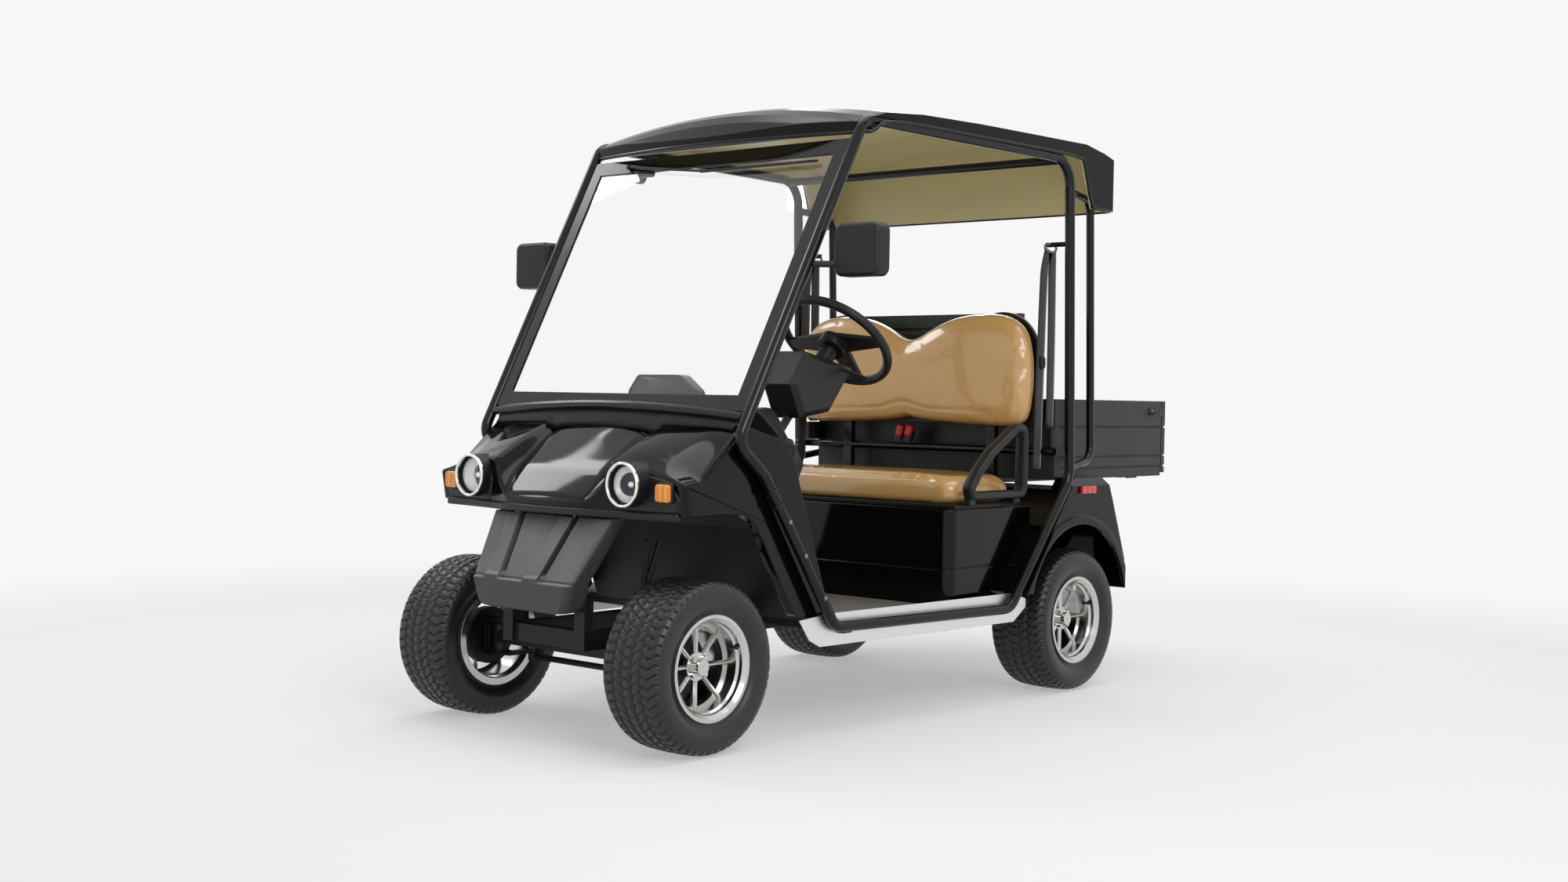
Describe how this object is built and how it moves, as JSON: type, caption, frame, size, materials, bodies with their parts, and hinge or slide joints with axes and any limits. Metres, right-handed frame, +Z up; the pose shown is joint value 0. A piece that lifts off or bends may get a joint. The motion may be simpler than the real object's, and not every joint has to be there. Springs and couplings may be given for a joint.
{
  "type": "electric utility vehicle",
  "caption": "Small two-seat electric utility vehicle with a tube frame, windshield and roof, tan bench seat, alloy wheels that roll and steer, and a rear cargo box.",
  "frame": {"origin": "on the ground, at the centre of the footprint's box", "axes": "+Z up, +Y towards the rear, so the vehicle faces -Y, and +X to the vehicle's left"},
  "size_m": [1.464, 2.5685, 1.8378],
  "materials": {
    "frame_steel": "satin black paint",
    "floor_mat": "ribbed matt rubber",
    "bright_trim": "satin anodised",
    "body_black": "high gloss",
    "apron_grey": "coarse moulded grain",
    "cabin_plastic": "fine moulded grain",
    "chrome_ring": "polished",
    "lamp_glass": "clear",
    "amber_lens": "clear amber",
    "red_lens": "clear red",
    "tube_black": "semi-gloss powder coat",
    "shield_glass": "clear",
    "shield_band": "gloss black band",
    "mirror_glass": "silvered",
    "liner_beige": "smooth moulded",
    "battery_case": "moulded",
    "seat_vinyl": "glossy vinyl",
    "belt_black": "woven webbing",
    "buckle_red": "moulded",
    "box_plastic": "satin moulded",
    "axle_iron": "painted",
    "tyre_rubber": "matt",
    "rim_alloy": "polished"
  },
  "bodies": {
    "root": {"chassis_frame": "frame_steel", "box_subframe": "frame_steel", "front_axle": "frame_steel", "floor_pan": "floor_mat", "sill_trims": "bright_trim", "front_cowl": "body_black", "hood_panel": "body_black", "seat_base": "body_black", "rear_body": "body_black", "roof_shell": "body_black", "bumper_apron": "apron_grey", "rear_bumper": "apron_grey", "dash": "cabin_plastic", "steering_column": "cabin_plastic", "pedals": "cabin_plastic", "mirror_left": "cabin_plastic", "mirror_right": "cabin_plastic", "lamp_buckets": "cabin_plastic", "wiper": "cabin_plastic", "backrest_shell": "cabin_plastic", "armrests": "cabin_plastic", "belt_retractors": "cabin_plastic", "lamp_rings": "chrome_ring", "lamp_lenses": "lamp_glass", "indicators": "amber_lens", "tail_lamps": "red_lens", "side_frame_left": "tube_black", "side_frame_right": "tube_black", "roof_cross_tubes": "tube_black", "backrest_frame": "tube_black", "windshield_glass": "shield_glass", "windshield_frame": "shield_band", "mirror_glasses": "mirror_glass", "roof_liner": "liner_beige", "battery_pack": "battery_case", "backrest_cushion": "seat_vinyl", "belt_webbing": "belt_black", "belt_buckles": "buckle_red", "cargo_box": "box_plastic", "rear_axle": "axle_iron"},
    "steering_wheel": {"steering_wheel": "cabin_plastic"},
    "knuckle_left": {"knuckle_left": "frame_steel"},
    "knuckle_right": {"knuckle_right": "frame_steel"},
    "tie_rod": {"tie_rod": "frame_steel"},
    "seat_lid": {"seat_board": "frame_steel", "seat_cushion": "seat_vinyl"},
    "tailgate": {"tailgate": "box_plastic"},
    "wheel_front_left": {"tyre_front_left": "tyre_rubber", "rim_front_left": "rim_alloy"},
    "wheel_front_right": {"tyre_front_right": "tyre_rubber", "rim_front_right": "rim_alloy"},
    "wheel_rear_left": {"tyre_rear_left": "tyre_rubber", "rim_rear_left": "rim_alloy"},
    "wheel_rear_right": {"tyre_rear_right": "tyre_rubber", "rim_rear_right": "rim_alloy"}
  },
  "joints": [
    {"name": "steer_left", "type": "hinge", "parent": "root", "child": "knuckle_left", "pos_m": [0.33, -1.05475, 0.2295], "axis": [0, 0, 1], "range_deg": [-28, 28]},
    {"name": "steer_right", "type": "hinge", "parent": "root", "child": "knuckle_right", "pos_m": [-0.33, -1.05475, 0.2295], "axis": [0, 0, 1], "range_deg": [-28, 28]},
    {"name": "tie_rod_slide", "type": "slide", "parent": "root", "child": "tie_rod", "axis": [1, 0, 0], "range_m": [-0.05, 0.05]},
    {"name": "steering_wheel_turn", "type": "hinge", "parent": "root", "child": "steering_wheel", "pos_m": [0.27, -0.29175, 1.104], "axis": [0, 0.6717, 0.7408], "range_deg": [-392, 392]},
    {"name": "spin_front_left", "type": "hinge", "parent": "knuckle_left", "child": "wheel_front_left", "pos_m": [0.425, -1.05475, 0.2295], "axis": [1, 0, 0], "continuous": true},
    {"name": "spin_front_right", "type": "hinge", "parent": "knuckle_right", "child": "wheel_front_right", "pos_m": [-0.425, -1.05475, 0.2295], "axis": [1, 0, 0], "continuous": true},
    {"name": "spin_rear_left", "type": "hinge", "parent": "root", "child": "wheel_rear_left", "pos_m": [0.485, 0.59525, 0.2295], "axis": [1, 0, 0], "continuous": true},
    {"name": "spin_rear_right", "type": "hinge", "parent": "root", "child": "wheel_rear_right", "pos_m": [-0.485, 0.59525, 0.2295], "axis": [1, 0, 0], "continuous": true},
    {"name": "seat_lift", "type": "hinge", "parent": "root", "child": "seat_lid", "pos_m": [0, 0.39125, 0.6113], "axis": [-1, 0, 0], "range_deg": [0, 60]},
    {"name": "tailgate_drop", "type": "hinge", "parent": "root", "child": "tailgate", "pos_m": [0, 1.27625, 0.676], "axis": [-1, 0, 0], "range_deg": [0, 180]}
  ],
  "couplings": [
    {"joint": "steer_right", "follows": "steer_left", "ratio": 1},
    {"joint": "tie_rod_slide", "follows": "steer_left", "m_per_rad": -0.1},
    {"joint": "steering_wheel_turn", "follows": "steer_left", "ratio": 14}
  ]
}
